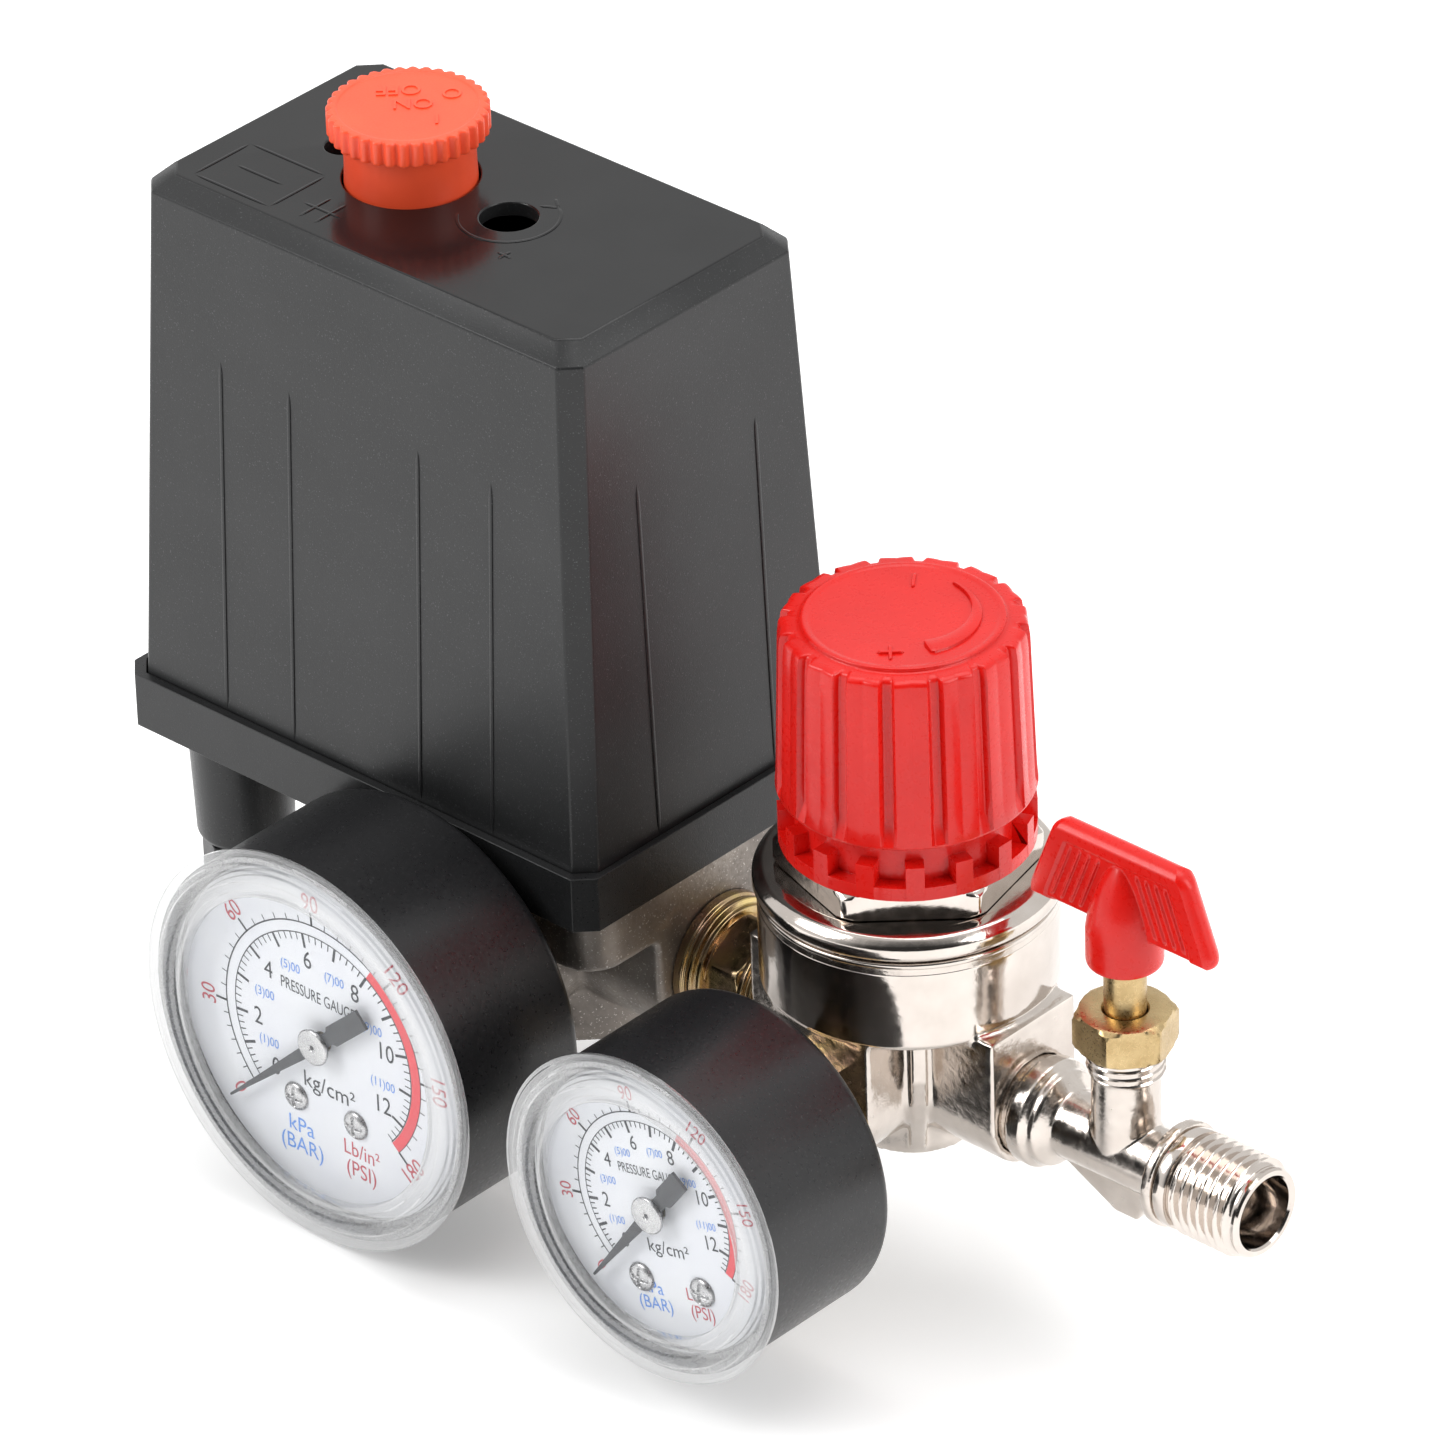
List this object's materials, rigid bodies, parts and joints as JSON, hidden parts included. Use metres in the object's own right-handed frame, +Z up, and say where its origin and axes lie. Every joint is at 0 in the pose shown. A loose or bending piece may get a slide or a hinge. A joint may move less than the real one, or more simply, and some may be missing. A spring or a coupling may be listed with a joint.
{
  "type": "pressure switch",
  "caption": "Air compressor pressure switch on a ported manifold, with regulator, outlet tap and two dial gauges.",
  "frame": {"origin": "centre of the mouth of the manifold's inlet thread, which faces down onto the tank", "axes": "+Z up, +X along the box towards the outlet, gauges face -Y"},
  "size_m": [0.1681, 0.0761, 0.1321],
  "materials": {
    "cover_plastic": "black ABS, finely spark-eroded sides and a smoother top",
    "base_plastic": "black ABS, fine texture",
    "gland_plastic": "black nylon",
    "rubber": "smooth moulded rubber",
    "cast_metal": "raw die casting, dull grey",
    "steel": "bright steel",
    "orange_plastic": "orange-red, satin",
    "inner_plastic": "moulded, beige",
    "brass": "turned brass",
    "yellow_zinc": "steel, yellow passivated zinc",
    "nickel": "nickel plate on a die casting",
    "plate_metal": "plain",
    "red_plastic": "bright red, glossy",
    "black_paint": "satin black enamel",
    "clear_plastic": "clear moulded plastic",
    "dial_white": "white printed sheet",
    "pointer_grey": "dark grey paint"
  },
  "bodies": {
    "root": {"base_screws": "steel", "bonnet": "nickel", "cover": "cover_plastic", "cover_screw": "steel", "dial_screws": "steel", "diaphragm_plate": "plate_metal", "fixed_contacts": "brass", "gland_grommets": "rubber", "gland_nuts": "gland_plastic", "hex_nipple": "yellow_zinc", "lock_ring": "red_plastic", "manifold": "cast_metal", "manifold_plugs": "steel", "outlet_gauge_bourdon_tube": "brass", "outlet_gauge_case": "black_paint", "outlet_gauge_dial": "dial_white", "outlet_gauge_lens": "clear_plastic", "outlet_gauge_movement": "brass", "outlet_gauge_socket": "yellow_zinc", "packing_nut": "brass", "pivot_pins": "steel", "reg_body": "nickel", "reg_diaphragm": "rubber", "reg_plugs": "steel", "stem_packing": "rubber", "switch_base": "base_plastic", "switch_diaphragm": "rubber", "switch_frame": "steel", "tank_gauge_bourdon_tube": "brass", "tank_gauge_case": "black_paint", "tank_gauge_dial": "dial_white", "tank_gauge_lens": "clear_plastic", "tank_gauge_movement": "brass", "tank_gauge_socket": "yellow_zinc", "tap_body": "nickel", "terminal_block": "inner_plastic", "terminal_screws": "steel"},
    "knob": {"on_off_knob": "orange_plastic"},
    "trip": {"trip_lever": "inner_plastic"},
    "plunger": {"switch_plunger": "steel"},
    "pressure_lever": {"pressure_lever": "steel"},
    "range_screw": {"range_screw": "steel"},
    "spring_nut": {"spring_nut": "steel", "range_spring": "steel"},
    "valve": {"reg_valve": "brass", "valve_spring": "steel"},
    "reg_screw": {"reg_screw": "steel"},
    "reg_knob": {"regulator_knob": "red_plastic"},
    "spring_seat": {"spring_seat": "steel", "reg_spring": "steel"},
    "stem_seal": {"stem_seal": "rubber"},
    "tap_stem": {"tap_stem": "brass", "tap_handle": "red_plastic"},
    "tank_pointer": {"tank_gauge_pointer": "pointer_grey", "tank_gauge_pointer_arbor": "brass"},
    "tank_sector": {"tank_gauge_sector_gear": "brass"},
    "outlet_pointer": {"outlet_gauge_pointer": "pointer_grey", "outlet_gauge_pointer_arbor": "brass"},
    "outlet_sector": {"outlet_gauge_sector_gear": "brass"}
  },
  "joints": [
    {"name": "on_off_slide", "type": "slide", "parent": "root", "child": "knob", "axis": [0, 0, 1], "range_m": [-0.0058, 0]},
    {"name": "trip_tilt", "type": "hinge", "parent": "root", "child": "trip", "pos_m": [-0.043, 0, 0.062], "axis": [0, 1, 0], "range_deg": [0, 21.7]},
    {"name": "plunger_lift", "type": "slide", "parent": "root", "child": "plunger", "axis": [0, 0, 1], "range_m": [0, 0.0012], "stiffness_N_per_m": 1000, "springref_m": -0.002},
    {"name": "pressure_lever_tilt", "type": "hinge", "parent": "root", "child": "pressure_lever", "pos_m": [0.014, 0, 0.042], "axis": [0, 1, 0], "range_deg": [0, 6.2]},
    {"name": "range_screw_turn", "type": "hinge", "parent": "root", "child": "range_screw", "pos_m": [-0.007, 0, 0.094], "axis": [0, 0, 1], "range_deg": [-1083, 1083]},
    {"name": "spring_nut_slide", "type": "slide", "parent": "root", "child": "spring_nut", "axis": [0, 0, 1], "range_m": [-0.00376, 0.00376], "deforming": ["range_spring"]},
    {"name": "valve_open", "type": "slide", "parent": "root", "child": "valve", "axis": [0, 0, 1], "range_m": [-0.001, 0], "stiffness_N_per_m": 400, "springref_m": 0.002, "deforming": ["valve_spring"]},
    {"name": "reg_screw_turn", "type": "hinge", "parent": "root", "child": "reg_screw", "pos_m": [0.0568, 0, 0.062], "axis": [0, 0, 1], "range_deg": [-1080, 0]},
    {"name": "reg_knob_lock", "type": "slide", "parent": "reg_screw", "child": "reg_knob", "axis": [0, 0, 1], "range_m": [-0.0022, 0]},
    {"name": "spring_seat_slide", "type": "slide", "parent": "root", "child": "spring_seat", "axis": [0, 0, 1], "range_m": [-0.00451, 0], "deforming": ["reg_spring"]},
    {"name": "tap_stem_slide", "type": "slide", "parent": "root", "child": "stem_seal", "axis": [0, 0, 1], "range_m": [-0.00251, 0]},
    {"name": "tap_turn", "type": "hinge", "parent": "stem_seal", "child": "tap_stem", "pos_m": [0.0917, 0, 0.04], "axis": [0, 0, 1], "range_deg": [-904, 0]},
    {"name": "tank_pointer_turn", "type": "hinge", "parent": "root", "child": "tank_pointer", "pos_m": [0, -0.045, 0.015], "axis": [0, 1, 0], "range_deg": [0, 263.5], "stiffness_Nm_per_rad": 0.00001, "springref_deg": -5.73},
    {"name": "tank_sector_turn", "type": "hinge", "parent": "root", "child": "tank_sector", "pos_m": [0, -0.04, -0.003], "axis": [0, 1, 0], "range_deg": [-33.8, 0]},
    {"name": "outlet_pointer_turn", "type": "hinge", "parent": "root", "child": "outlet_pointer", "pos_m": [0.0568, -0.045, 0.015], "axis": [0, 1, 0], "range_deg": [0, 255.3], "stiffness_Nm_per_rad": 0.00001, "springref_deg": -5.73},
    {"name": "outlet_sector_turn", "type": "hinge", "parent": "root", "child": "outlet_sector", "pos_m": [0.0568, -0.04, 0.001], "axis": [0, 1, 0], "range_deg": [-45.1, 0]}
  ],
  "couplings": [
    {"joint": "trip_tilt", "follows": "on_off_slide", "rad_per_m": -64.9},
    {"joint": "pressure_lever_tilt", "follows": "plunger_lift", "rad_per_m": 88},
    {"joint": "range_screw_turn", "follows": "spring_nut_slide", "rad_per_m": -5026.5},
    {"joint": "spring_seat_slide", "follows": "reg_screw_turn", "m_per_rad": 0.00023873},
    {"joint": "tap_turn", "follows": "tap_stem_slide", "rad_per_m": 6283.2},
    {"joint": "tank_sector_turn", "follows": "tank_pointer_turn", "ratio": -0.125},
    {"joint": "outlet_sector_turn", "follows": "outlet_pointer_turn", "ratio": -0.16667}
  ]
}
